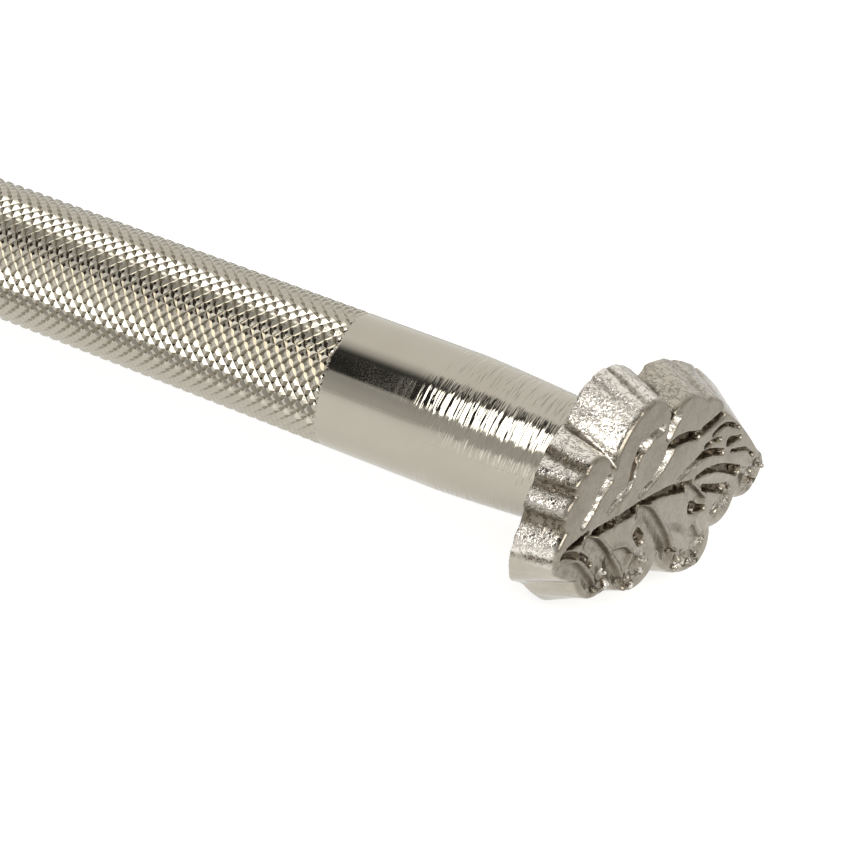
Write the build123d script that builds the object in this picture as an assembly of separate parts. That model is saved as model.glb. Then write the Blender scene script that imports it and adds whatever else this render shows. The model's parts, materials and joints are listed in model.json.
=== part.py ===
from build123d import *
from math import cos, radians, sin
import os

# Leather stamping tool, millimetres.
# +X runs along the shank from the striking end to the stamping face, and the origin is the centre
# of the striking end. +Y is the leaf's midrib seen along the shank, +Z the leaf's width.

# Shank
SHANK_DIA = 6.35                # quarter-inch bar
SHANK_R = SHANK_DIA / 2
KNURL_START_X = 34.0            # the knurled grip; its crests are level with the bar
KNURL_END_X = 93.4
KNURL_RELIEF = 0.12             # the bar is turned down this much under the knurl's two ends
RELIEF_WIDTH = 0.25
NECK_TAPER_X = 98.9             # the plain neck narrows from here to the joint
NECK_END_X = 104.1
NECK_END_R = 2.85
STRIKING_CHAMFER = 0.8
CHAMFER_BACK = 1.1

# Tang joint between the casting and the bar
TANG_R = 1.5
TANG_LENGTH = 8.0
BRAZE_GAP = 0.3                 # filler between the bar's end and the casting's root
BORE_SPARE = 0.6                # drill point clearance past the tang

# Stamping head
FACE_X = 108.4                  # where the shank's axis meets the stamping face
FACE_RAKE = 17.0                # the face leans, so that the leaf's tip is furthest forward
FACE_LEAN = 6.0                 # and turns up a little, towards +Z
HEAD_DEPTH = 2.7                # thickness of the leaf block
WALL_DRAFT = 16.0               # the side walls open out towards the back
VEIN_DEPTH = 0.45

# The leaf's edge on the face, as arcs: each pair is a point on the arc and the arc's end.
LEAF_START = (-7.0, -1.3)
LEAF_ARCS = [
    ((-7.0, -0.5), (-6.65, 0.25)),      # four flutes up the stem side of the first lobe
    ((-6.65, 1.05), (-6.2, 1.8)),
    ((-6.1, 2.25), (-5.75, 2.5)),
    ((-5.0, 2.95), (-3.85, 2.2)),
    ((-3.5, 3.2), (-2.75, 4.1)),        # second lobe
    ((-1.6, 4.7), (-0.1, 3.5)),
    ((1.0, 4.3), (2.6, 3.9)),           # third lobe
    ((3.7, 3.7), (4.4, 3.0)),
    ((6.4, 1.7), (8.1, 0.3)),           # the tip
    ((8.9, -1.0), (6.9, -1.6)),
    ((6.5, -2.5), (4.9, -2.6)),         # the lobes of the other side
    ((5.3, -3.7), (4.5, -4.6)),
    ((2.7, -4.4), (0.9, -3.0)),
    ((0.1, -4.1), (-1.4, -4.0)),
    ((-2.0, -3.7), (-2.5, -3.1)),
    ((-3.3, -3.7), (-4.8, -2.6)),
    ((-6.1, -2.1), LEAF_START),
]

# Veins as (start, end, width), on the face.
VEINS = [
    ((-6.6, -0.7), (-1.6, 0.15), 0.5),  # midrib
    ((-1.9, 0.1), (2.6, 0.2), 0.5),
    ((2.2, 0.2), (7.2, -0.4), 0.45),
    ((-5.5, 0.1), (-4.2, 1.9), 0.45),   # branches towards +Z
    ((-3.9, 0.3), (-1.9, 3.1), 0.5),
    ((-1.6, 0.5), (1.6, 3.4), 0.5),
    ((1.3, 0.5), (4.6, 1.7), 0.45),
    ((-5.1, -0.5), (-1.4, -3.6), 0.5),  # branches towards -Z
    ((-1.5, -0.1), (2.4, -3.5), 0.5),
    ((2.6, 0.0), (5.2, -1.9), 0.45),
]

rake = radians(FACE_RAKE)
lean = radians(FACE_LEAN)
FACE_PLANE = Plane(
    origin=(FACE_X, 0, 0),
    x_dir=(sin(rake), cos(rake), 0),
    z_dir=(cos(rake) * cos(lean), -sin(rake) * cos(lean), sin(lean)),
)


def along_x(x, radius, length):
    """A round bar of the given radius, from x forwards."""
    return extrude(Plane.YZ.offset(x) * Circle(radius), amount=length)


def shank():
    """Turned bar: chamfered striking end, knurl band, tapering neck and the bore for the tang."""
    profile = Polyline(
        (0, 0),
        (0, SHANK_R - STRIKING_CHAMFER),
        (CHAMFER_BACK, SHANK_R),
        (KNURL_START_X - RELIEF_WIDTH, SHANK_R),
        (KNURL_START_X, SHANK_R - KNURL_RELIEF),
        (KNURL_START_X + RELIEF_WIDTH, SHANK_R),
        (KNURL_END_X - RELIEF_WIDTH, SHANK_R),
        (KNURL_END_X, SHANK_R - KNURL_RELIEF),
        (KNURL_END_X + RELIEF_WIDTH, SHANK_R),
        (NECK_TAPER_X, SHANK_R),
        (NECK_END_X, NECK_END_R),
        (NECK_END_X, 0),
        close=True,
    )
    bar = revolve(make_face(profile), axis=Axis.X)
    bore_depth = TANG_LENGTH + BORE_SPARE
    return bar - along_x(NECK_END_X - bore_depth, TANG_R, bore_depth)


def braze_joint():
    """The washer of filler that holds the casting's root to the end of the bar."""
    return along_x(NECK_END_X, NECK_END_R, BRAZE_GAP) - along_x(NECK_END_X, TANG_R, BRAZE_GAP)


def leaf_face():
    """The leaf's outline on the stamping face."""
    edges = []
    start = LEAF_START
    for middle, end in LEAF_ARCS:
        edges.append(ThreePointArc(start, middle, end))
        start = end
    return make_face(edges)


def vein(start, end, width):
    """A groove that starts full width at the midrib and narrows to its end."""
    a = Vector(*start)
    b = Vector(*end)
    across = (b - a).normalized().rotate(Axis.Z, 90) * (width / 2)
    return Polyline(a + across, b + across * 0.4, b - across * 0.4, a - across, close=True)


def stamp_head():
    """Cast leaf block with drafted walls, veins in its face, a round root and the tang."""
    outline = FACE_PLANE * leaf_face()
    block = extrude(outline, amount=-HEAD_DEPTH, taper=-WALL_DRAFT)
    for start, end, width in VEINS:
        groove = FACE_PLANE * make_face(vein(start, end, width))
        block -= extrude(groove, amount=-VEIN_DEPTH)
    root_x = NECK_END_X + BRAZE_GAP
    root = along_x(root_x, NECK_END_R, FACE_X - HEAD_DEPTH / 2 - root_x)
    tang = along_x(NECK_END_X - TANG_LENGTH, TANG_R, TANG_LENGTH + BRAZE_GAP)
    return block + root + tang


os.makedirs("parts", exist_ok=True)
export_step(shank(), "parts/shank.step")
export_step(braze_joint(), "parts/braze_joint.step")
export_step(stamp_head(), "parts/stamp_head.step")
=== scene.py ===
"""Looks of a leather stamping tool: a plated bar with a knurled grip, and a cast leaf head.

Lengths are in millimetres until a mesh is made, and x, y, z are the part's own axes: +X runs along
the bar from the striking end to the stamping face, +Y along the leaf's midrib, +Z across the leaf.
On the stamping face, u runs along the midrib, v across the leaf and w out of the face.
"""

import json
from math import atan2, cos, pi, radians, sin, sqrt

import bpy
import numpy as np
import openvdb
from mathutils import Matrix, Vector


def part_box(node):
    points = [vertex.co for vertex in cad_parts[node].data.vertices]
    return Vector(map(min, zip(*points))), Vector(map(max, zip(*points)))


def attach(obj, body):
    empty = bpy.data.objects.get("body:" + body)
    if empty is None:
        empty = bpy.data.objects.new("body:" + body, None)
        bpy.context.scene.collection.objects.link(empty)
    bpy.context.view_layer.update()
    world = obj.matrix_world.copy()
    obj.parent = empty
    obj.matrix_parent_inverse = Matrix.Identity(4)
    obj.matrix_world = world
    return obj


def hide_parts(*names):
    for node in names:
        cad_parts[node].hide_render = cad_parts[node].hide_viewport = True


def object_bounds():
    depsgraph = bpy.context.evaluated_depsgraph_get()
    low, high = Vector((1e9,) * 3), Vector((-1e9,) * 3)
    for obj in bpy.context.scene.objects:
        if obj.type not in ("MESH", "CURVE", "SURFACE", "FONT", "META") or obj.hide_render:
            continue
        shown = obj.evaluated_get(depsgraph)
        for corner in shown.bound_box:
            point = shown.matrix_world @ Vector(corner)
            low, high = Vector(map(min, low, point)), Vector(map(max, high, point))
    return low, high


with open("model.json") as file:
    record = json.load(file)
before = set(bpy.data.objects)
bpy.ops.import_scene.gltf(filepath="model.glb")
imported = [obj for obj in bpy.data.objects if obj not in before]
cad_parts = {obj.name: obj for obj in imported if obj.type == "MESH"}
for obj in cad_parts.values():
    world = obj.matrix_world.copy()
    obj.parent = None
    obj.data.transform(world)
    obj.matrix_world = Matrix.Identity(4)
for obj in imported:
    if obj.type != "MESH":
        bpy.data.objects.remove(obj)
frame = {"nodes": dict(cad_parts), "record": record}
cad_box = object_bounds()

MM = 0.001
SEED = 7

# --- dimensions, shared with the CAD model ---------------------------------------------------
MOUNTS = {mount["name"]: mount for mount in frame["record"]["mounts"]}
BAR_R = MOUNTS["grip"]["dims"]["r_mm"]
NECK_END_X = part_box("shank")[1].x / MM
NECK_END_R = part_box("braze_joint")[1].z / MM
BRAZE_END_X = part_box("braze_joint")[1].x / MM
KNURL_START_X = 34.0
KNURL_END_X = 93.4
NECK_TAPER_X = 98.9
STRIKING_CHAMFER = 0.8
CHAMFER_BACK = 1.1

FACE_CENTRE = np.array(MOUNTS["stamping_face"]["pos_m"]) / MM
FACE_OUT = np.array(MOUNTS["stamping_face"]["axis"])
FACE_OUT = FACE_OUT / np.linalg.norm(FACE_OUT)
FACE_U = np.array([-FACE_OUT[1], FACE_OUT[0], 0.0])
FACE_U = FACE_U / np.linalg.norm(FACE_U)
FACE_V = np.cross(FACE_OUT, FACE_U)
HEAD_DEPTH = 2.7
WALL_DRAFT = radians(16.0)


# --- helpers ---------------------------------------------------------------------------------
def smoothstep(low, high, x):
    t = np.clip((x - low) / (high - low), 0.0, 1.0)
    return t * t * (3.0 - 2.0 * t)


def smooth_max(a, b, radius):
    """The larger of two fields, with the corner between them rounded."""
    blend = np.clip(0.5 + 0.5 * (a - b) / radius, 0.0, 1.0)
    return b + (a - b) * blend + radius * blend * (1.0 - blend)


def smooth_min(a, b, radius):
    return -smooth_max(-a, -b, radius)


def lattice_noise(points, size, seed):
    """Smooth random values from -1 to 1 at points, with lumps of the given size."""
    side = 32
    values = np.random.default_rng(seed).uniform(-1.0, 1.0, (side, side, side)).astype(np.float32)
    scaled = points / size
    cell = np.floor(scaled)
    part = (scaled - cell).astype(np.float32)
    part = part * part * (3.0 - 2.0 * part)
    cell = cell.astype(np.int64)
    total = np.zeros(len(points), np.float32)
    for dx in (0, 1):
        for dy in (0, 1):
            for dz in (0, 1):
                corner = (cell + (dx, dy, dz)) % side
                weight = np.ones(len(points), np.float32)
                for axis, step in enumerate((dx, dy, dz)):
                    weight *= part[:, axis] if step else 1.0 - part[:, axis]
                total += weight * values[corner[:, 0], corner[:, 1], corner[:, 2]]
    return total


def curve_through(points, steps=8):
    """Points along a smooth curve through the given ones."""
    p = np.array(points, float)
    if len(p) < 3:
        return p
    ends = np.vstack([2 * p[0] - p[1], p, 2 * p[-1] - p[-2]])
    out = []
    for i in range(len(p) - 1):
        a, b, c, d = ends[i:i + 4]
        for k in range(steps):
            t = k / steps
            out.append(0.5 * (2 * b + (c - a) * t + (2 * a - 5 * b + 4 * c - d) * t ** 2
                              + (3 * b - a - 3 * c + d) * t ** 3))
    out.append(p[-1])
    return np.array(out)


def arc_through(start, middle, end, steps=8):
    """Points along the circle through three points, without the first."""
    (ax, ay), (bx, by), (cx, cy) = start, middle, end
    d = 2 * (ax * (by - cy) + bx * (cy - ay) + cx * (ay - by))
    a2, b2, c2 = ax * ax + ay * ay, bx * bx + by * by, cx * cx + cy * cy
    ox = (a2 * (by - cy) + b2 * (cy - ay) + c2 * (ay - by)) / d
    oy = (a2 * (cx - bx) + b2 * (ax - cx) + c2 * (bx - ax)) / d
    first = atan2(ay - oy, ax - ox)
    turn = (atan2(cy - oy, cx - ox) - first) % (2 * pi)
    via = (atan2(by - oy, bx - ox) - first) % (2 * pi)
    if via > turn:
        turn -= 2 * pi
    radius = sqrt((ax - ox) ** 2 + (ay - oy) ** 2)
    angles = [first + turn * k / steps for k in range(1, steps + 1)]
    return [(ox + radius * cos(t), oy + radius * sin(t)) for t in angles]


def distance_to_path(path, u, v):
    """Distance from each (u, v) to a path, how far along it the nearest point is, 0 to 1, and
    which side of it that lies on, 1 on the left and -1 on the right."""
    lengths = np.linalg.norm(np.diff(path, axis=0), axis=1)
    before = np.concatenate([[0.0], np.cumsum(lengths)])
    best = np.full(u.shape, 1e9)
    along = np.zeros(u.shape)
    side = np.ones(u.shape)
    for i, length in enumerate(lengths):
        a = path[i]
        step = (path[i + 1] - a) / length
        t = np.clip((u - a[0]) * step[0] + (v - a[1]) * step[1], 0.0, length)
        d = np.hypot(u - a[0] - t * step[0], v - a[1] - t * step[1])
        nearer = d < best
        best = np.where(nearer, d, best)
        along = np.where(nearer, (before[i] + t) / before[-1], along)
        side = np.where(nearer, np.sign(step[0] * (v - a[1]) - step[1] * (u - a[0])), side)
    return best, along, side


def inside_outline(outline, u, v):
    inside = np.zeros(u.shape, bool)
    a = outline
    b = np.roll(outline, -1, axis=0)
    for (ax, ay), (bx, by) in zip(a, b):
        if ay == by:
            continue
        crosses = (ay > v) != (by > v)
        inside ^= crosses & (u < (bx - ax) * (v - ay) / (by - ay) + ax)
    return inside


def add_mesh(name, points_mm, faces, material, smooth=True):
    """A mesh object from points in millimetres."""
    mesh = bpy.data.meshes.new(name)
    mesh.from_pydata((np.asarray(points_mm) * MM).tolist(), [], faces)
    mesh.update()
    mesh.polygons.foreach_set("use_smooth", [smooth] * len(mesh.polygons))
    mesh.materials.append(material)
    thing = bpy.data.objects.new(name, mesh)
    bpy.context.collection.objects.link(thing)
    return thing


def add_attribute(thing, name, values):
    attribute = thing.data.attributes.new(name, "FLOAT", "POINT")
    attribute.data.foreach_set("value", np.asarray(values, np.float32))


# --- materials -------------------------------------------------------------------------------
class Nodes:
    """Short calls for building a node tree: a new material's, or the world's."""

    def __init__(self, name, world=None):
        owner = world or bpy.data.materials.new(name)
        owner.use_nodes = True
        self.material = owner
        self.tree = owner.node_tree
        self.shader = self.tree.nodes.get("Principled BSDF")

    def add(self, kind, **settings):
        node = self.tree.nodes.new(kind)
        for key, value in settings.items():
            setattr(node, key, value)
        return node

    def link(self, source, target):
        self.tree.links.new(source, target)

    def position(self):
        """The object's own coordinates, in metres."""
        return self.add("ShaderNodeTexCoord").outputs["Object"]

    def attribute(self, name):
        return self.add("ShaderNodeAttribute", attribute_name=name).outputs["Fac"]

    def noise(self, vector, scale, detail=2.0, roughness=0.5):
        node = self.add("ShaderNodeTexNoise")
        self.link(vector, node.inputs["Vector"])
        node.inputs["Scale"].default_value = scale
        node.inputs["Detail"].default_value = detail
        node.inputs["Roughness"].default_value = roughness
        return node.outputs["Fac"]

    def remap(self, value, low, high, to_low, to_high):
        node = self.add("ShaderNodeMapRange")
        self.link(value, node.inputs["Value"])
        ends = {"From Min": low, "From Max": high, "To Min": to_low, "To Max": to_high}
        for key, number in ends.items():
            node.inputs[key].default_value = number
        return node.outputs["Result"]

    def maths(self, operation, a, b=None):
        node = self.add("ShaderNodeMath", operation=operation)
        for socket, value in zip(node.inputs, (a, b)):
            if value is None:
                continue
            if isinstance(value, (int, float)):
                socket.default_value = value
            else:
                self.link(value, socket)
        return node.outputs[0]

    def absolute(self, value):
        return self.maths("ABSOLUTE", value)

    def window(self, value, low, high, soft):
        """1 where value is between low and high, with soft edges."""
        edges = []
        for start, end in ((low - soft, low + soft), (high + soft, high - soft)):
            node = self.add("ShaderNodeMapRange", interpolation_type="SMOOTHSTEP")
            self.link(value, node.inputs["Value"])
            node.inputs["From Min"].default_value = start
            node.inputs["From Max"].default_value = end
            edges.append(node.outputs["Result"])
        return self.maths("MULTIPLY", *edges)

    def mix(self, factor, first, second):
        """A colour between two, each a colour or a socket."""
        node = self.add("ShaderNodeMix", data_type="RGBA")
        self.link(factor, node.inputs[0])
        for socket, colour in ((node.inputs[6], first), (node.inputs[7], second)):
            if isinstance(colour, tuple):
                socket.default_value = (*colour, 1.0)
            else:
                self.link(colour, socket)
        return node.outputs[2]

    def bump(self, height, distance):
        node = self.add("ShaderNodeBump")
        self.link(height, node.inputs["Height"])
        node.inputs["Distance"].default_value = distance
        node.inputs["Strength"].default_value = 1.0
        return node.outputs["Normal"]


NICKEL_LIGHT = (0.53, 0.5, 0.43)
NICKEL_DARK = (0.47, 0.435, 0.365)
NICKEL_CAST = (0.56, 0.52, 0.445)
# colour of the painted highlights on the casting
HIGHLIGHT_NICKEL = (0.88, 0.84, 0.77)
# dark colour for painted shade, and for stains on the casting
SHADE_AND_STAIN_COLOUR = (0.1, 0.076, 0.05)


RINGS_START_X = 97.4            # rings ground in by hand begin here
RINGS_FULL_X = 98.8             # and are at their full depth from here
RINGS_PER_METRE = 5200.0
RING_SLANT = 0.00022            # metres along the bar for each radian round it
RING_WANDER = 1.6               # how quickly a ring changes on its way round
RING_DEPTH = 0.000085           # metres
RING_FAINT = 0.02               # share of that depth on the rest of the bar


def bar_material():
    """Bright plate on turned steel: faint rings all along, and deep ones ground in by the head."""
    n = Nodes("plated_bar")
    position = n.position()
    split = n.add("ShaderNodeSeparateXYZ")
    n.link(position, split.inputs[0])
    x, y, z = split.outputs
    angle = n.maths("ARCTAN2", z, y)
    slant = n.maths("MULTIPLY", angle, RING_SLANT)
    ring_x = n.maths("ADD", x, slant)
    rings = n.add("ShaderNodeCombineXYZ")
    n.link(n.maths("MULTIPLY", ring_x, RINGS_PER_METRE), rings.inputs[0])
    n.link(n.maths("MULTIPLY", n.maths("SINE", angle), RING_WANDER), rings.inputs[1])
    n.link(n.maths("MULTIPLY", n.maths("COSINE", angle), RING_WANDER), rings.inputs[2])
    fine = n.noise(rings.outputs[0], 1.0, 2.0, 0.55)
    near_head = n.remap(x, RINGS_START_X * MM, RINGS_FULL_X * MM, RING_FAINT, 1.0)
    height = n.maths("MULTIPLY", fine, near_head)
    smears = n.noise(position, 400.0, 3.0)
    n.link(n.bump(height, RING_DEPTH), n.shader.inputs["Normal"])
    plate = n.mix(smears, NICKEL_DARK, NICKEL_LIGHT)
    # painted shade: the plate darkens towards the bottom of the knurl's grooves
    n.link(n.mix(n.attribute("painted_shade"), plate, SHADE_AND_STAIN_COLOUR), n.shader.inputs["Base Color"])
    n.link(n.remap(smears, 0.3, 0.7, 0.06, 0.11), n.shader.inputs["Roughness"])
    n.shader.inputs["Metallic"].default_value = 1.0
    return n.material


CREASES_PER_METRE = 2600.0
CREASE_WIDTH = 0.035            # in the noise's own values
CREASE_DEPTH = 0.35             # share of the sand's depth
CREASE_SHADE = 0.75
SAND_PER_METRE = 9000.0
SAND_DEPTH = 0.000025           # metres
FACE_GRAIN = 0.05               # share of the sand that is everywhere
STAINS = 0.09


def casting_material():
    """Plate over a casting: creased, sandy skin with stains, painted shade in its creases, rougher
    and with painted shade in the recesses and on the stamping face, and painted highlights.
    """
    n = Nodes("plated_casting")
    position = n.position()
    painted_shade = n.attribute("painted_shade")
    grain = n.attribute("grain")
    wander = n.maths("SUBTRACT", n.noise(position, CREASES_PER_METRE, 4.0, 0.65), 0.5)
    smooth = n.remap(n.absolute(wander), 0.0, CREASE_WIDTH, 0.0, 1.0)
    sand = n.noise(position, SAND_PER_METRE, 2.0, 0.6)
    skin = n.maths("ADD", n.maths("MULTIPLY", smooth, CREASE_DEPTH), sand)
    height = n.maths("MULTIPLY", skin, n.maths("ADD", grain, FACE_GRAIN))
    darkness = n.maths("MULTIPLY", grain, CREASE_SHADE)
    # painted shade in the creases of the skin
    crease_shade = n.maths("MULTIPLY", n.maths("SUBTRACT", 1.0, smooth), darkness)
    stains = n.remap(n.noise(position, 900.0, 5.0, 0.65), 0.3, 0.7, -STAINS, STAINS)
    patches = n.noise(position, 1400.0, 3.0, 0.6)
    plate = n.mix(patches, NICKEL_DARK, NICKEL_CAST)
    # painted highlight on the left walls, the knobs and the V grooves
    plate = n.mix(n.attribute("painted_highlight"), plate, HIGHLIGHT_NICKEL)
    n.link(n.bump(height, SAND_DEPTH), n.shader.inputs["Normal"])
    # painted shade from the recesses, ribs and face, painted shade in the creases, and real stains
    # pull the plate towards the dark colour
    darkening = n.maths("ADD", n.maths("ADD", painted_shade, stains), crease_shade)
    n.link(n.mix(darkening, plate, SHADE_AND_STAIN_COLOUR), n.shader.inputs["Base Color"])
    n.link(n.remap(painted_shade, 0.0, 1.0, 0.13, 0.32), n.shader.inputs["Roughness"])
    n.shader.inputs["Metallic"].default_value = 1.0
    return n.material


def filler_material():
    n = Nodes("filler")
    grain = n.noise(n.position(), 3000.0)
    n.link(n.bump(grain, 0.00002), n.shader.inputs["Normal"])
    n.link(n.mix(grain, NICKEL_DARK, NICKEL_LIGHT), n.shader.inputs["Base Color"])
    n.shader.inputs["Metallic"].default_value = 1.0
    n.shader.inputs["Roughness"].default_value = 0.35
    return n.material


# --- the bar ---------------------------------------------------------------------------------
KNURL_STARTS = 29
KNURL_PITCH = 0.567
KNURL_DEPTH = 0.135
KNURL_CUTS = 3                  # mesh steps from a groove crossing to the next peak
KNURL_PROFILE = (0.0, 0.5, 1.0, 1.0)
KNURL_GROOVE_SHADE = 0.12              # painted shade at the bottom of a knurl groove
PLAIN_STEP = 0.6                # between the mesh's rings on the plain bar
NECK_STEP = 0.12                # and on the neck
END_DISH = 0.12                 # the struck end is rounded over by this much more


def bar_stations():
    """(x, radius, knurl share) down the bar; rows in the knurl keep step with its lattice."""
    row = KNURL_PITCH / 2 / KNURL_CUTS
    stations = [(0.0, BAR_R - STRIKING_CHAMFER - END_DISH, 0.0)]
    for k in range(9):                                  # hammered, rounded edge of the striking end
        t = k / 8
        stations.append((0.04 + (CHAMFER_BACK + 0.1) * t ** 1.1,
                         BAR_R - STRIKING_CHAMFER * (1 - t) ** 1.5, 0.0))
    x = stations[-1][0] + PLAIN_STEP
    while x < KNURL_START_X - PLAIN_STEP / 2:
        stations.append((x, BAR_R, 0.0))
        x += PLAIN_STEP
    rows = round((KNURL_END_X - KNURL_START_X) / row)
    for k in range(-2, rows + 3):
        share = min(1.0, max(0.0, min(k, rows - k) / 2.0))
        stations.append((KNURL_END_X - (rows - k) * row, BAR_R, share))
    x = stations[-1][0] + NECK_STEP
    while x < NECK_END_X - 0.05:
        t = max(0.0, (x - NECK_TAPER_X) / (NECK_END_X - NECK_TAPER_X))
        stations.append((x, BAR_R - (BAR_R - NECK_END_R) * t ** 1.25, 0.0))
        x += NECK_STEP
    stations.append((NECK_END_X, NECK_END_R, 0.0))
    return stations


def knurl_height(row, column):
    """0 in a groove and 1 on a crest, at a point of the fine lattice."""
    period = 2 * KNURL_CUTS
    a = (row + column) % period
    b = (row - column) % period
    rise = np.minimum(np.minimum(a, period - a), np.minimum(b, period - b))
    return np.interp(rise, range(KNURL_CUTS + 1), KNURL_PROFILE)


def make_bar(material):
    columns = 2 * KNURL_STARTS * KNURL_CUTS
    stations = bar_stations()
    column = np.arange(columns)
    angle = 2 * pi * column / columns
    points = []
    shade_level = []
    for row, (x, radius, knurl) in enumerate(stations):
        height = knurl_height(row, column)
        r = radius - KNURL_DEPTH * knurl * (1.0 - height)
        points.append(np.stack([np.full(columns, x), r * np.cos(angle), r * np.sin(angle)], 1))
        # painted shade, deepest in the knurl's grooves
        shade_level.append(knurl * KNURL_GROOVE_SHADE * (1.0 - height) ** 2)
    faces = []
    flat = []
    for row in range(len(stations) - 1):
        knurled = stations[row][2] > 0 or stations[row + 1][2] > 0
        for c in range(columns):
            d = (c + 1) % columns
            p, q = row * columns + c, row * columns + d
            s, t = p + columns, q + columns
            if not knurled:
                faces.append((p, q, t, s))
            elif (row // KNURL_CUTS + c // KNURL_CUTS) % 2 == 0:
                faces += [(p, q, t), (p, t, s)]
            else:
                faces += [(p, q, s), (q, t, s)]
        flat += [knurled] * (len(faces) - len(flat))
    last = (len(stations) - 1) * columns
    faces.append(tuple(range(columns))[::-1])
    faces.append(tuple(last + c for c in range(columns)))
    flat += [True, True]
    bar = add_mesh("shank_bar", np.concatenate(points), faces, material)
    bar.data.polygons.foreach_set("use_smooth", [not each for each in flat])
    add_attribute(bar, "painted_shade", np.concatenate(shade_level))
    return bar


# --- the leaf head ---------------------------------------------------------------------------
VOXEL = 0.06
LEAF_START = (-7.15, -1.2)
LEAF_ARCS = [
    ((-7.02, -0.55), (-6.72, 0.1)),
    ((-6.84, 0.4), (-6.98, 0.72)),
    ((-6.8, 1.15), (-6.42, 1.62)),
    ((-6.5, 1.8), (-6.6, 2.0)),
    ((-6.3, 2.3), (-5.95, 2.52)),
    ((-5.95, 2.65), (-5.85, 2.72)),
    ((-4.9, 2.95), (-3.85, 2.2)),
    ((-3.5, 3.2), (-2.75, 4.1)),
    ((-1.6, 4.7), (-0.1, 3.5)),
    ((1.0, 4.3), (2.6, 3.9)),
    ((3.7, 3.7), (4.4, 3.0)),
    ((6.4, 1.7), (8.1, 0.3)),
    ((8.9, -1.0), (6.9, -1.6)),
    ((6.5, -2.5), (4.9, -2.6)),
    ((5.3, -3.7), (4.5, -4.6)),
    ((2.7, -4.4), (0.9, -3.0)),
    ((0.1, -4.1), (-1.4, -4.0)),
    ((-2.0, -3.7), (-2.5, -3.1)),
    ((-3.3, -3.7), (-4.8, -2.6)),
    ((-6.1, -2.1), LEAF_START),
]
BACK_OUTLINE = [
    (-7.85, -1.3), (-7.65, -0.6), (-7.35, 0.15), (-7.65, 0.75), (-7.4, 1.3), (-7.0, 1.6),
    (-7.2, 1.95), (-6.7, 2.5), (-6.2, 2.8), (-6.2, 3.05), (-5.6, 3.4), (-4.8, 3.6),
    (-3.85, 4.1), (-3.1, 4.9), (-2.1, 5.4), (-1.2, 5.45), (0.0, 5.1), (0.8, 4.65), (1.5, 4.95),
    (2.6, 5.0), (4.1, 4.65), (5.5, 4.15), (7.1, 3.25), (8.4, 2.25), (9.4, 0.9), (9.6, -0.5),
    (9.0, -1.7), (7.6, -2.5), (6.4, -3.4), (5.9, -4.4), (4.9, -5.3), (2.7, -5.2), (0.7, -4.7),
    (-1.2, -5.1), (-3.2, -5.1), (-4.5, -4.4), (-5.5, -3.6), (-6.7, -3.0), (-7.4, -2.2),
]

# Valleys between the flutes down the wall: place at the front and at the back, width, depth, and
# how much painted shade they get.
WALL_VALLEYS = [
    ((-7.25, -1.2), (-7.95, -1.6), 0.3, 0.12, 0.7),
    ((-6.8, 0.35), (-7.5, 0.5), 0.5, 0.12, 0.9),
    ((-6.5, 1.8), (-7.1, 1.8), 0.34, 0.1, 0.9),
    ((-5.92, 2.62), (-6.2, 2.95), 0.26, 0.12, 0.8),
    ((-4.1, 2.45), (-4.5, 3.85), 0.26, 0.3, 0.8),
    ((-2.7, 4.4), (-2.75, 5.2), 0.16, 0.18, 0.7),
    ((-2.05, 4.7), (-1.65, 5.5), 0.18, 0.18, 0.7),
    ((-0.1, 3.3), (0.7, 4.85), 0.3, 0.3, 0.8),
    ((2.7, 4.05), (3.5, 4.95), 0.18, 0.16, 0.5),
    ((4.4, 3.1), (5.7, 4.2), 0.2, 0.2, 0.5),
]

MIDRIB = [(-7.1, -1.1), (-6.7, -0.5), (-5.8, -0.25), (-4.9, 0.0), (-3.5, 0.05), (-1.5, 0.35),
          (0.4, 0.5), (2.4, 0.35), (4.7, 0.15), (6.6, -0.2)]

# V grooves in the lands, bright with a painted highlight: path, half width and depth at the start,
# and at the end.
V_GROOVES = [
    ([(-5.6, 0.1), (-5.1, 0.7), (-4.7, 1.3), (-4.2, 1.8)], (0.16, 0.25), (0.26, 0.45)),
    ([(-3.9, 0.35), (-3.3, 0.75), (-2.7, 1.1), (-2.45, 1.6)], (0.14, 0.25), (0.24, 0.42)),
    ([(-1.6, 0.5), (-0.8, 0.95), (-0.2, 1.45), (0.3, 2.1)], (0.14, 0.25), (0.26, 0.45)),
    ([(-0.1, 2.8), (0.1, 3.2), (0.4, 3.6)], (0.2, 0.35), (0.24, 0.35)),
    ([(1.3, 0.5), (2.2, 0.85), (3.0, 1.15)], (0.12, 0.22), (0.22, 0.38)),
    ([(-1.9, 2.7), (-1.4, 3.1), (-0.7, 3.3)], (0.24, 0.35), (0.2, 0.3)),
]
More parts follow.
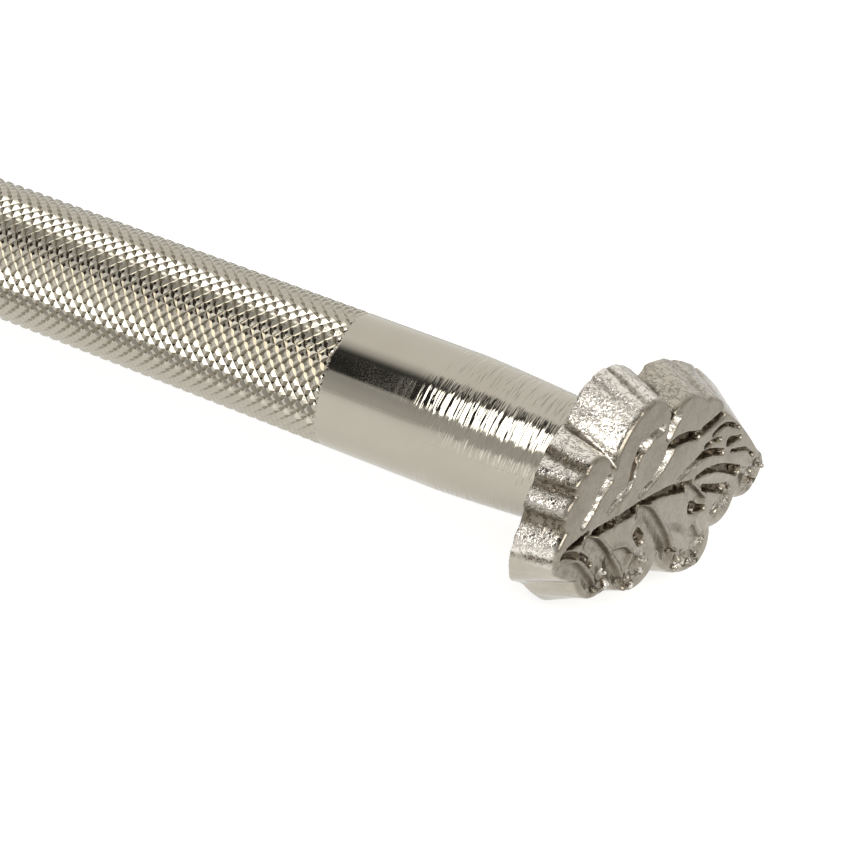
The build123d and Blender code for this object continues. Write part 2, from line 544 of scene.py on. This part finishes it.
# Flat-bottomed channels with painted shade, in the same terms.
CHANNELS = [
    ([(-6.3, -0.72), (-5.2, -0.5)], (0.16, 0.4), (0.26, 0.45)),
    ([(-4.6, -0.52), (-3.0, -0.33), (-1.4, -0.12)], (0.2, 0.5), (0.3, 0.5)),
    ([(-1.1, 0.0), (0.6, 0.08), (2.4, -0.08)], (0.18, 0.45), (0.28, 0.5)),
    ([(-2.5, 1.5), (-2.35, 2.3), (-2.1, 2.8)], (0.2, 0.4), (0.24, 0.4)),
    ([(0.2, 2.25), (1.0, 2.45), (2.3, 2.35)], (0.26, 0.45), (0.2, 0.4)),
    ([(3.0, 1.2), (3.8, 1.2), (4.8, 1.0)], (0.2, 0.4), (0.14, 0.35)),
    ([(3.2, 1.6), (3.8, 1.75), (4.4, 1.7)], (0.12, 0.3), (0.08, 0.25)),
    ([(2.7, 2.45), (3.5, 2.7), (4.2, 2.95)], (0.2, 0.4), (0.2, 0.35)),
    ([(3.7, 2.05), (4.3, 2.3), (4.9, 2.3), (5.9, 1.95)], (0.1, 0.25), (0.08, 0.2)),
    ([(5.2, 1.4), (6.2, 1.4)], (0.2, 0.4), (0.1, 0.3)),
    ([(5.6, 0.85), (6.9, 0.65), (7.7, 0.2)], (0.08, 0.2), (0.08, 0.2)),
    ([(2.9, 0.2), (3.7, 0.3), (4.6, 0.25), (5.6, 0.0), (6.6, -0.35)], (0.12, 0.35), (0.24, 0.4)),
    ([(3.7, -0.5), (4.6, -0.75), (5.7, -1.05)], (0.14, 0.35), (0.22, 0.4)),
    ([(-6.7, -1.0), (-6.0, -1.1), (-5.0, -1.5), (-4.4, -2.0)], (0.14, 0.25), (0.14, 0.2)),
    ([(-1.15, -1.45), (-0.75, -1.85)], (0.26, 0.45), (0.28, 0.4)),
    ([(3.1, -1.35), (3.6, -1.5), (4.2, -1.6)], (0.26, 0.4), (0.14, 0.25)),
]
# Ribs of the lower half, from the midrib out: path, and the drop on their lower left side.
RIBS = [
    ([(-6.9, -1.3), (-5.5, -1.5), (-4.6, -2.2), (-3.9, -2.9), (-3.3, -3.5)], 0.22),
    ([(-5.1, -0.3), (-4.0, -0.9), (-2.9, -1.9), (-2.2, -2.7), (-1.3, -4.0)], 0.22),
    ([(-3.0, -1.6), (-1.9, -1.8), (-1.1, -2.4)], 0.14),
    ([(-1.5, 0.1), (-0.3, -0.4), (0.7, -1.3), (1.6, -2.3), (2.5, -3.7)], 0.24),
    ([(3.5, -2.1), (4.3, -3.0)], 0.12),
    ([(2.6, 0.1), (3.6, -0.6), (4.4, -1.2)], 0.2),
]
# Shallow leaf-shaped dent, and the patches of lumpy metal at the lobes' tips, with sizes; the
# patches get a painted highlight and random blotches of painted shade.
DENT = ([(1.6, -1.75), (2.5, -2.2), (3.0, -2.65)], 0.28, 0.14)
KNOBS = [
    (-3.35, -3.1, 0.5), (-3.5, -2.5, 0.28), (-4.6, -1.75, 0.12), (-1.4, -3.65, 0.45),
    (-0.7, -3.3, 0.45), (-0.45, -2.75, 0.3), (-0.75, -1.75, 0.16), (2.8, -3.9, 0.4),
    (3.9, -4.0, 0.5), (4.4, -3.3, 0.35), (2.1, -3.1, 0.14), (3.4, -1.5, 0.28), (5.3, -2.0, 0.3),
    (6.0, -1.7, 0.4), (5.9, -1.05, 0.25), (7.8, -1.0, 0.5), (8.25, -0.4, 0.3),
]
# Painted shade on the plate, from 0, bright, to 1, nearly black.
FACE_SHADE = 0.46
GROOVE_BRIGHT = 0.05
CHANNEL_SHADE = 0.93
RIB_SHADE = 0.38
DENT_SHADE = 0.3
# Small shapes of the stamping face.
LOWER_DROP = 0.1                # the lower half lies this much below the upper one
MIDRIB_RISE = 0.05
MIDRIB_WIDTH = 0.12
RIB_RISE = 0.1
RIB_WIDTH = 0.1


def leaf_outline():
    outline = [LEAF_START]
    for middle, end in LEAF_ARCS:
        outline += arc_through(outline[-1], middle, end)
    return np.array(outline[:-1])


def back_outline():
    around = BACK_OUTLINE[-1:] + BACK_OUTLINE + BACK_OUTLINE[:2]
    return curve_through(around)[8:-8]


def signed_distance(outline, u, v):
    """Distance to a closed outline, negative inside it."""
    closed = np.vstack([outline, outline[:1]])
    edge = distance_to_path(closed, u, v)[0]
    return np.where(inside_outline(outline, u, v), -edge, edge)


def face_relief(u, v):
    """Height of the stamping face over its plane, its painted shade, how lumpy it is, and its
    painted highlight.
    """
    d, _, side = distance_to_path(curve_through(MIDRIB), u, v)
    below = smoothstep(0.0, 0.6, -d * side)
    height = -LOWER_DROP * below + MIDRIB_RISE * np.exp(-(d / MIDRIB_WIDTH) ** 2)
    # painted shade over the whole stamping face, darker as u falls and as v rises
    shade_level = FACE_SHADE - 0.012 * u + 0.01 * v
    painted_shade = shade_level.copy()
    lumps = np.zeros(u.shape)
    painted_highlight = np.zeros(u.shape)
    for points, drop in RIBS:
        d, t, side = distance_to_path(curve_through(points), u, v)
        ends = smoothstep(0.0, 0.12, t) * (1.0 - smoothstep(0.85, 1.0, t))
        s = -d * side
        fall = smoothstep(0.02, 0.22, s) * (1.0 - smoothstep(0.3, 1.2, s)) * ends
        height += RIB_RISE * np.exp(-(d / RIB_WIDTH) ** 2) * ends * below - drop * fall
        shade = smoothstep(0.03, 0.1, s) * (1.0 - smoothstep(0.13, 0.36, s)) * ends
        painted_shade = np.maximum(painted_shade, shade_level + RIB_SHADE * shade)
    for points, start, end in V_GROOVES:
        d, t, _ = distance_to_path(curve_through(points), u, v)
        half = start[0] + (end[0] - start[0]) * t
        depth = start[1] + (end[1] - start[1]) * t
        height = np.minimum(height, -depth * np.clip(1.12 - d / half, 0.0, 1.0))
        # the V grooves get almost no painted shade, and a painted highlight
        painted_shade = np.where(d < half, GROOVE_BRIGHT, painted_shade)
        painted_highlight = np.where(d < half, 1.0, painted_highlight)
        lumps = np.maximum(lumps, 0.45 * (d < half))
    for points, start, end in CHANNELS:
        d, t, _ = distance_to_path(curve_through(points), u, v)
        half = start[0] + (end[0] - start[0]) * t
        depth = start[1] + (end[1] - start[1]) * t
        inside = 1.0 - smoothstep(half - 0.06, half + 0.04, d)
        height = np.minimum(height, -depth * inside + height * (1.0 - inside))
        # painted shade inside the channels
        painted_shade = np.maximum(painted_shade, CHANNEL_SHADE * inside)
        painted_highlight = painted_highlight * (1.0 - inside)
        lumps = np.maximum(lumps, 0.8 * inside)
    points, half, depth = DENT
    d, t, _ = distance_to_path(curve_through(points), u, v)
    dent = (1.0 - smoothstep(0.0, half, d)) * np.sin(pi * np.clip(0.15 + 0.8 * t, 0.0, 1.0))
    height -= depth * dent
    painted_shade = np.maximum(painted_shade, shade_level + DENT_SHADE * dent)
    for ku, kv, size in KNOBS:
        d = np.hypot(u - ku, v - kv) / size
        height += 0.42 * size * np.exp(-(d / 0.6) ** 2) - 0.24 * size * np.exp(-d ** 2)
        lumps = np.maximum(lumps, 1.5 * np.exp(-d ** 2))
    return height, painted_shade, lumps, painted_highlight


def wall_valleys(u, v, w):
    """Depth cut from the wall by the valleys between its flutes, and their painted shade."""
    back = np.clip(-w / HEAD_DEPTH, 0.0, 1.1)
    cut = np.zeros(np.broadcast_shapes(np.shape(u), np.shape(w)), np.float32)
    shade = np.zeros_like(cut)
    for front_at, back_at, width, depth, darkening in WALL_VALLEYS:
        du = u - front_at[0] - back * (back_at[0] - front_at[0])
        dv = v - front_at[1] - back * (back_at[1] - front_at[1])
        near = np.exp(-(du * du + dv * dv) / (width * width))
        cut = np.maximum(cut, depth * near)
        shade = np.maximum(shade, smoothstep(0.08, 0.7, near) * darkening)
    return cut, shade


def wall_roughness(u, v):
    """1 on the sand-rough upper and left walls, 0 on the smooth lower ones."""
    return smoothstep(-1.75, -1.25, v + 0.12 * (u + 7.0)) * (1.0 - 0.8 * smoothstep(5.0, 7.0, u))


def largest_part(corners, quads):
    """The points and faces of the largest connected part, without the specks that noise leaves."""
    label = np.arange(len(corners))
    while True:
        lowest = label[quads].min(axis=1)
        merged = label.copy()
        np.minimum.at(merged, quads, lowest[:, None])
        merged = merged[merged]
        if np.array_equal(merged, label):
            break
        label = merged
    kept = label == np.bincount(label).argmax()
    renumbered = np.cumsum(kept) - 1
    return corners[kept], renumbered[quads[kept[quads[:, 0]]]]


HEAD_U = (-8.8, 10.6)           # room for the casting on each axis of its grid
HEAD_V = (-6.4, 6.4)
HEAD_W = (-4.8, 0.5)
FACE_EDGE_RADIUS = 0.07
LOWER_EDGE_SPARE = 0.17         # the lower lobes' edges are rounder by this much
BACK_EDGE_RADIUS = 0.12
ROOT_FILLET = 0.3
SAND = ((0.022, 0.34), (0.01, 0.15))    # height and size of the lumps in the casting's skin
CLODS = (0.36, 0.3)             # the same for the lumpy metal at the lobes' tips
SHADE_BLOTCH_SIZE = 0.3
WALL_TONE = 0.04
VALLEY_SHADE = 0.8


def head_field(grid_u, grid_v, w, relief):
    """Signed distance to the casting before its skin is roughened."""
    out = np.broadcast_to(w[None, None, :], (*grid_u.shape, len(w))).astype(np.float32)
    pu = grid_u[:, :, None].astype(np.float32)
    pv = grid_v[:, :, None].astype(np.float32)
    front = signed_distance(leaf_outline(), grid_u, grid_v)
    rear = signed_distance(back_outline(), grid_u, grid_v)
    back = np.clip(-out / HEAD_DEPTH, 0.0, 1.1)
    wall = (front[:, :, None] * (1.0 - back) + rear[:, :, None] * back) * cos(WALL_DRAFT)
    wall += wall_valleys(pu, pv, out)[0]
    top = (out - relief[:, :, None]) * 0.8
    lower = smoothstep(0.5, 1.5, -grid_v)[:, :, None]
    block = smooth_max(wall, top, FACE_EDGE_RADIUS + LOWER_EDGE_SPARE * lower)
    block = smooth_max(block, -HEAD_DEPTH - out, BACK_EDGE_RADIUS)

    # the round root, along the bar's axis
    axis = np.array([FACE_U[0], FACE_V[0], FACE_OUT[0]])
    along = pu * axis[0] + pv * axis[1] + out * axis[2]
    away = np.sqrt(np.maximum(pu ** 2 + pv ** 2 + out ** 2 - along ** 2, 0.0))
    root_back = (BRAZE_END_X - FACE_CENTRE[0]) - along
    root = smooth_max(away - NECK_END_R, root_back, 0.02)
    root = np.maximum(root, along + 1.0)
    field = smooth_min(block, root, ROOT_FILLET)
    return np.maximum(field, root_back).astype(np.float32)


def roughen(field, grid_u, grid_v, w, relief, lumps):
    """Push the surface in and out: sand on the rough walls, and clods at the lobes' tips."""
    near = np.abs(field) < 4 * VOXEL
    index = np.argwhere(near)
    column = index[:, 0], index[:, 1]
    places = index * VOXEL
    on_face = smoothstep(-0.3, -0.12, w[index[:, 2]].astype(np.float32) - relief[column])
    rough = wall_roughness(grid_u, grid_v)[column] * (1.0 - on_face)
    clumps = lumps[column] * on_face
    drawn = places * (1.0, 1.0, 0.6)        # the lumps are longer down the walls
    sand = SAND[0][0] * lattice_noise(drawn, SAND[0][1], SEED)
    sand = sand + SAND[1][0] * lattice_noise(places, SAND[1][1], SEED + 1)
    clods = CLODS[0] * lattice_noise(places, CLODS[1], SEED + 2)
    uneven = sand * (0.25 + 0.75 * np.maximum(rough, clumps)) + clods * clumps ** 2
    field[near] += uneven.astype(np.float32)


def colour_head(head, local):
    """Per point: its painted shade, its painted highlight, and how grainy its skin is."""
    u, v, w = local.T
    height, painted_shade, lumps, face_highlight = face_relief(u, v)
    on_face = smoothstep(-0.3, -0.1, w - height)
    off_face = 1.0 - on_face
    rough = wall_roughness(u, v)
    shade = wall_valleys(u, v, w)[1]
    knobs = np.clip(lumps - 0.8, 0.0, 0.7) / 0.7
    # on the knobs, random blotches of painted shade stand in for dark facets
    shade_blotches = 0.5 + 0.5 * lattice_noise(local, SHADE_BLOTCH_SIZE, SEED + 3)
    painted_shade = painted_shade * (1.0 - knobs) + knobs * smoothstep(0.5, 0.6, shade_blotches) * 0.95
    # painted shade in the valleys between the flutes
    wall_shade = WALL_TONE + VALLEY_SHADE * shade * rough
    # painted highlight on the rough left walls, away from the valleys
    painted_highlight = rough * (1.0 - smoothstep(-2.0, 0.3, u)) * off_face * (1.0 - shade)
    painted_highlight = np.maximum(painted_highlight, np.maximum(knobs, face_highlight) * on_face)
    add_attribute(head, "painted_shade", painted_shade * on_face + wall_shade * off_face)
    add_attribute(head, "painted_highlight", painted_highlight)
    add_attribute(head, "grain", (0.2 + 0.8 * lumps) * on_face + rough * off_face)


def make_head(material):
    u = np.arange(*HEAD_U, VOXEL)
    v = np.arange(*HEAD_V, VOXEL)
    w = np.arange(*HEAD_W, VOXEL)
    grid_u, grid_v = np.meshgrid(u, v, indexing="ij")
    relief, _, lumps, _ = face_relief(grid_u, grid_v)
    field = head_field(grid_u, grid_v, w, relief)
    roughen(field, grid_u, grid_v, w, relief, lumps)

    grid = openvdb.FloatGrid(1.0)
    grid.copyFromArray(np.ascontiguousarray(field))
    corners, quads = largest_part(*grid.convertToQuads(0.0))
    local = corners.astype(float) * VOXEL + (u[0], v[0], w[0])
    points = FACE_CENTRE + local @ np.array([FACE_U, FACE_V, FACE_OUT])
    head = add_mesh("leaf_head", points, quads[:, ::-1].tolist(), material)
    colour_head(head, local)
    return head


# --- studio ----------------------------------------------------------------------------------
CAMERA_AT = Vector((121.1, -69.0, 32.7)) * MM
CAMERA_BACK = (18.98, 24.63)    # azimuth and elevation of the camera's back, degrees
CAMERA_ROLL = 12.69
CAMERA_LENS = 76.24


def make_camera():
    data = bpy.data.cameras.new("camera")
    data.lens = CAMERA_LENS
    data.clip_start = 0.005
    azimuth, elevation = (radians(angle) for angle in CAMERA_BACK)
    back = Vector((sin(azimuth) * cos(elevation), -cos(azimuth) * cos(elevation), sin(elevation)))
    camera = bpy.data.objects.new("camera", data)
    turn = back.to_track_quat("Z", "Y").to_matrix() @ Matrix.Rotation(radians(CAMERA_ROLL), 3, "Z")
    camera.matrix_world = Matrix.Translation(CAMERA_AT) @ turn.to_4x4()
    bpy.context.collection.objects.link(camera)
    bpy.context.scene.camera = camera


FLOOR_SEEN = 0.7                # glow of the floor as the camera sees it
FLOOR_NEAR = (0.008, 0.5)       # metres from the tool, and brightness there in reflections
FLOOR_FAR = (0.1, 0.08)
FLOOR_CARD = 0.5                # brightness of a glowing card painted on the floor before the head, as painted light
CARD_X = (0.104, 0.15)
CARD_Y = (-0.12, -0.014)
CARD_SOFT = 0.003


def make_floor():
    """A plain pale floor, evenly bright as the camera sees it; in reflections it glows with a
    painted pool of light that falls off away from the tool, as a lit table does, and with a painted
    glowing card before the head.
    """
    lowest = cad_box[0].z
    half = 3.0
    mesh = bpy.data.meshes.new("floor")
    corners = [(-half, -half), (half, -half), (half, half), (-half, half)]
    mesh.from_pydata([(x, y, lowest) for x, y in corners], [], [(0, 1, 2, 3)])
    n = Nodes("floor")
    split = n.add("ShaderNodeSeparateXYZ")
    n.link(n.position(), split.inputs[0])
    x, y, _ = split.outputs
    middle = cad_box[1].x / 2
    off_middle = n.absolute(n.maths("SUBTRACT", x, middle))
    past_end = n.maths("MAXIMUM", n.maths("SUBTRACT", off_middle, middle), 0.0)
    reach = n.add("ShaderNodeCombineXYZ")
    n.link(past_end, reach.inputs[0])
    n.link(y, reach.inputs[1])
    away = n.add("ShaderNodeVectorMath", operation="LENGTH")
    n.link(reach.outputs[0], away.inputs[0])
    # painted light: the floor's glow in reflections, bright near the tool and fading away from it
    near = n.remap(away.outputs["Value"], FLOOR_NEAR[0], FLOOR_FAR[0], FLOOR_NEAR[1], FLOOR_FAR[1])
    card = n.maths("MULTIPLY", n.window(x, *CARD_X, CARD_SOFT), n.window(y, *CARD_Y, CARD_SOFT))
    painted_glow = n.maths("ADD", near, n.maths("MULTIPLY", card, FLOOR_CARD))
    seen = n.add("ShaderNodeLightPath").outputs["Is Camera Ray"]
    choose = n.add("ShaderNodeMix", data_type="FLOAT")
    n.link(seen, choose.inputs[0])
    n.link(painted_glow, choose.inputs[2])
    choose.inputs[3].default_value = FLOOR_SEEN
    n.link(choose.outputs[0], n.shader.inputs["Emission Strength"])
    n.shader.inputs["Base Color"].default_value = (0.5, 0.5, 0.5, 1.0)
    n.shader.inputs["Roughness"].default_value = 0.9
    n.shader.inputs["Specular IOR Level"].default_value = 0.0
    n.shader.inputs["Emission Color"].default_value = (1.0, 1.0, 1.0, 1.0)
    mesh.materials.append(n.material)
    floor = bpy.data.objects.new("floor", mesh)
    bpy.context.collection.objects.link(floor)


# Patches of the studio's sky, over the ones before: how far along the bar they lie, as the cosine
# from +X, the angle round the bar from -Y over the top, in degrees, their soft edges in the same
# terms, and their brightness.
SKY = 0.95
GAP_END = -0.272                # where the dark gap stops and the softbox starts
SKY_PATCHES = [
    ((-1.1, 0.1), (-30, 30), (0.05, 8), 0.57),        # the dim side of the room
    ((0.1, 1.1), (-30, 22), (0.05, 5), 0.5),          # the camera's own side
    ((0.08, 1.1), (95, 140), (0.04, 10), 0.6),        # the dim far side
    ((-1.1, GAP_END), (14, 82), (0.01, 12), 0.45),    # the dusk round the dark gap
    ((-1.1, GAP_END), (34, 72), (0.01, 7), 0.05),     # the dark gap between the lamps
    ((-1.1, GAP_END), (30, 58), (0.01, 3), 0.03),
    ((GAP_END, 0.1), (56, 82), (0.01, 4), 0.06),      # the gap over the softbox
    ((GAP_END, 0.66), (24, 60), (0.01, 2.5), 4.5),    # the large softbox over the camera
]


def make_lights():
    """A soft studio: a pale sky with a large softbox, dim sides and a dark gap."""
    world = bpy.data.worlds.new("studio")
    n = Nodes("studio", world)
    background = n.tree.nodes["Background"]
    split = n.add("ShaderNodeSeparateXYZ")
    n.link(n.add("ShaderNodeTexCoord").outputs["Generated"], split.inputs[0])
    x, y, z = split.outputs
    around = n.maths("ARCTAN2", z, n.maths("MULTIPLY", y, -1.0))
    level = SKY
    for (left, right), (low, high), (soft_x, soft_around), brightness in SKY_PATCHES:
        inside = n.maths("MULTIPLY", n.window(x, left, right, soft_x),
                         n.window(around, radians(low), radians(high), radians(soft_around)))
        change = n.maths("MULTIPLY", inside, n.maths("SUBTRACT", brightness, level))
        level = n.maths("ADD", level, change)
    n.link(level, background.inputs["Strength"])
    background.inputs["Color"].default_value = (1.0, 0.985, 0.955, 1.0)

    plain = n.add("ShaderNodeBackground")
    plain.inputs["Color"].default_value = (1.0, 1.0, 1.0, 1.0)
    choose = n.add("ShaderNodeMixShader")
    n.link(n.add("ShaderNodeLightPath").outputs["Is Camera Ray"], choose.inputs[0])
    n.link(background.outputs[0], choose.inputs[1])
    n.link(plain.outputs[0], choose.inputs[2])
    n.link(choose.outputs[0], n.tree.nodes["World Output"].inputs["Surface"])
    bpy.context.scene.world = world


make_camera()
make_floor()
make_lights()
bar = make_bar(bar_material())
head = make_head(casting_material())
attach(bar, "root")
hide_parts("shank")
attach(head, "root")
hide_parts("stamp_head")
frame["nodes"]["braze_joint"].data.materials[0] = filler_material()

bpy.context.scene.view_settings.view_transform = "Standard"
